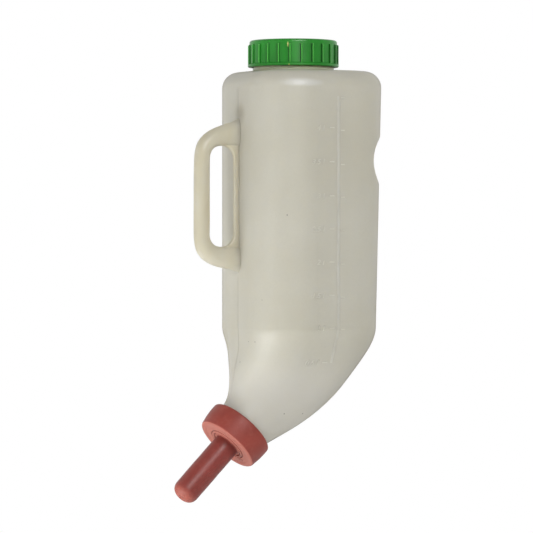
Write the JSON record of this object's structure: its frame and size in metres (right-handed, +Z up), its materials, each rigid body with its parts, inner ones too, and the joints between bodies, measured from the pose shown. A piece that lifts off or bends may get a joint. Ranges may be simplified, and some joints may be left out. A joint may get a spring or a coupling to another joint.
{
  "type": "calf feeding bottle",
  "caption": "Hanging calf feeding bottle: translucent square body with handle loop and rail notch, screwed filling cap, slanted spout with screwed collar and rubber teat.",
  "frame": {"origin": "centre of the flat top face of the filling cap", "axes": "+Z up along the filling neck; -X towards the handle and the slanted spout, +X towards the rail notch at the back; the bottle is symmetric about the XZ plane"},
  "size_m": [0.2046, 0.1376, 0.4402],
  "materials": {
    "bottle_hdpe": "natural translucent polyethylene, satin",
    "cap_plastic": "green moulded plastic, satin gloss",
    "seal_rubber": "pale soft seal",
    "collar_rubber": "brick red, smooth, matte",
    "teat_rubber": "brick red natural rubber, satin",
    "valve_plastic": "white moulded plastic",
    "vent_steel": "polished steel ball"
  },
  "bodies": {
    "bottle": {"bottle": "bottle_hdpe"},
    "cap_seal": {"cap_gasket": "seal_rubber"},
    "cap": {"fill_cap": "cap_plastic"},
    "teat_set": {"teat": "teat_rubber", "valve_seat": "valve_plastic", "valve_cage": "valve_plastic"},
    "collar": {"teat_collar": "collar_rubber", "vent_plug": "collar_rubber"},
    "valve_ball": {"valve_ball": "valve_plastic"},
    "vent_ball": {"vent_ball": "vent_steel"}
  },
  "joints": [
    {"name": "cap_lift", "type": "slide", "parent": "bottle", "child": "cap_seal", "axis": [0, 0, 1], "range_m": [0, 0.0225]},
    {"name": "cap_turn", "type": "hinge", "parent": "cap_seal", "child": "cap", "pos_m": [0, 0, 0], "axis": [0, 0, 1], "range_deg": [0, 1008]},
    {"name": "collar_lift", "type": "slide", "parent": "bottle", "child": "teat_set", "axis": [-0.7071, 0, -0.7071], "range_m": [0, 0.0161]},
    {"name": "collar_turn", "type": "hinge", "parent": "teat_set", "child": "collar", "pos_m": [-0.0557, 0, -0.36917], "axis": [-0.7071, 0, -0.7071], "range_deg": [0, 1152]},
    {"name": "valve_ball_slide", "type": "slide", "parent": "teat_set", "child": "valve_ball", "axis": [-0.7071, 0, -0.7071], "range_m": [-0.002, 0]},
    {"name": "vent_ball_slide", "type": "slide", "parent": "collar", "child": "vent_ball", "axis": [0.7071, 0, 0.7071], "range_m": [0, 0.0005]}
  ],
  "couplings": [
    {"joint": "cap_lift", "follows": "cap_turn", "m_per_rad": 0.0012732},
    {"joint": "collar_lift", "follows": "collar_turn", "m_per_rad": 0.00079577}
  ]
}
